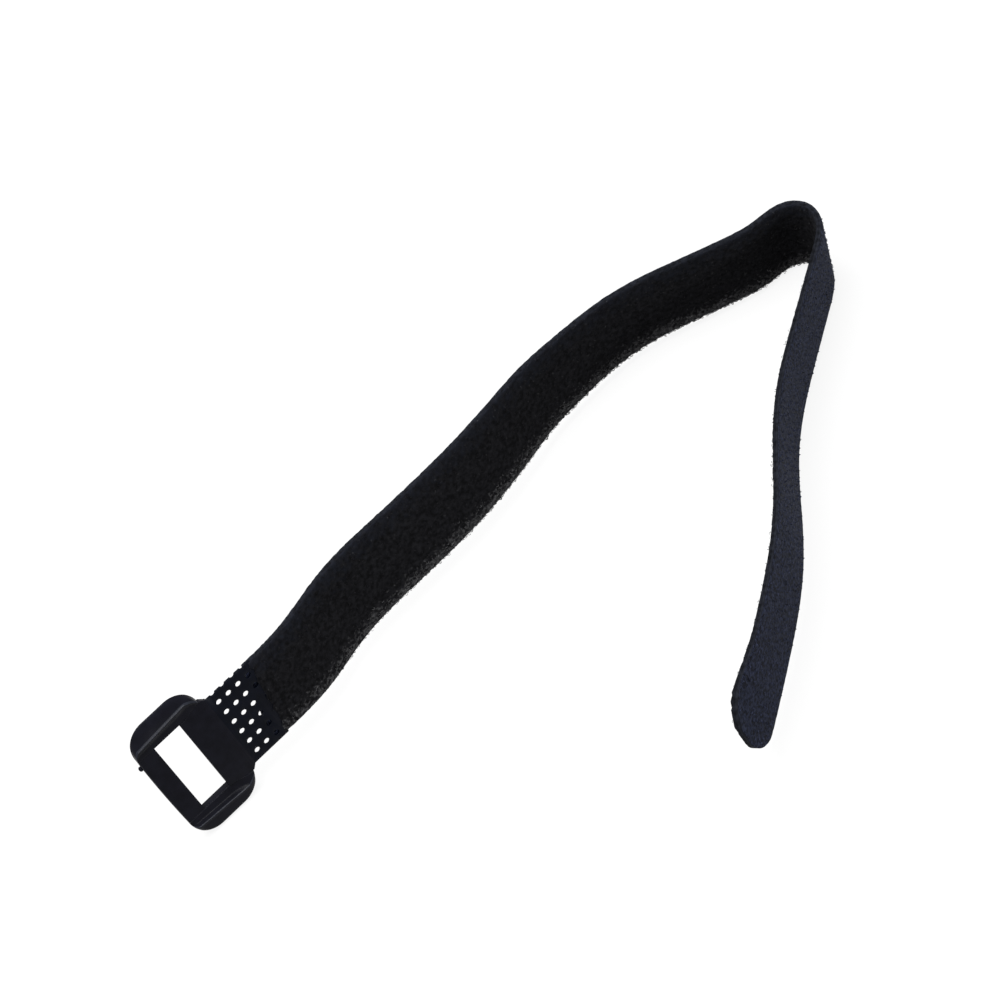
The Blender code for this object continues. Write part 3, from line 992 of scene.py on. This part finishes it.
def floor_finish():
    """White paper sweep that keeps the tie's soft shadow."""
    material = bpy.data.materials.new("white_sweep")
    material.use_nodes = True
    tree = material.node_tree
    shader = tree.nodes["Principled BSDF"]
    shader.inputs["Base Color"].default_value = (FLOOR_GREY, FLOOR_GREY, FLOOR_GREY, 1.0)
    shader.inputs["Roughness"].default_value = 0.9
    shader.inputs["Specular IOR Level"].default_value = 0.0
    shader.inputs["Emission Color"].default_value = (1.0, 1.0, 1.0, 1.0)
    glow = tree.nodes.new("ShaderNodeMath")
    glow.operation = "MULTIPLY"
    tree.links.new(seen_directly(tree), glow.inputs[0])
    glow.inputs[1].default_value = FLOOR_GLOW
    tree.links.new(glow.outputs["Value"], shader.inputs["Emission Strength"])
    return material


def light_world(scene, level):
    """Even white light of the given level, seen as plain white."""
    world = bpy.data.worlds.new("studio")
    scene.world = world
    world.use_nodes = True
    tree = world.node_tree
    background = tree.nodes["Background"]
    background.inputs["Color"].default_value = (1.0, 1.0, 1.0, 1.0)
    strength = tree.nodes.new("ShaderNodeMapRange")
    strength.inputs["To Min"].default_value = level
    strength.inputs["To Max"].default_value = 1.0
    tree.links.new(seen_directly(tree), strength.inputs["Value"])
    tree.links.new(strength.outputs["Result"], background.inputs["Strength"])


class CableTiePanel(bpy.types.Panel):
    """Sizes, colours and builders of the cable tie"""

    bl_idname = "VIEW3D_PT_cable_tie"
    bl_label = "Cable Tie"
    bl_space_type = "VIEW_3D"
    bl_region_type = "UI"
    bl_category = "Cable Tie"

    def draw(self, context):
        layout = self.layout
        scene = context.scene
        for group in (scene.cable_tie_buckle, scene.cable_tie_tape, scene.cable_tie_stage):
            box = layout.box()
            for name in group.bl_rna.properties.keys():
                if name not in {"rna_type", "name"}:
                    box.prop(group, name)
        for operator in (BuildMoulding, BuildLoopTape, BuildHookTape, BuildStage):
            layout.operator(operator.bl_idname)


CLASSES = (
    CableTieTape, CableTieBuckle, CableTieStage, BuildMoulding, BuildLoopTape, BuildHookTape, BuildStage,
    CableTiePanel,
)


def register():
    for cls in CLASSES:
        bpy.utils.register_class(cls)
    bpy.types.Scene.cable_tie_tape = PointerProperty(type=CableTieTape)
    bpy.types.Scene.cable_tie_buckle = PointerProperty(type=CableTieBuckle)
    bpy.types.Scene.cable_tie_stage = PointerProperty(type=CableTieStage)


def unregister():
    del bpy.types.Scene.cable_tie_stage
    del bpy.types.Scene.cable_tie_buckle
    del bpy.types.Scene.cable_tie_tape
    for cls in reversed(CLASSES):
        bpy.utils.unregister_class(cls)


def main():
    register()
    bpy.ops.cable_tie.build_moulding()
    bpy.ops.cable_tie.build_loop_tape()
    bpy.ops.cable_tie.build_hook_tape()
    bpy.ops.cable_tie.build_stage()


if __name__ == "__main__":
    main()
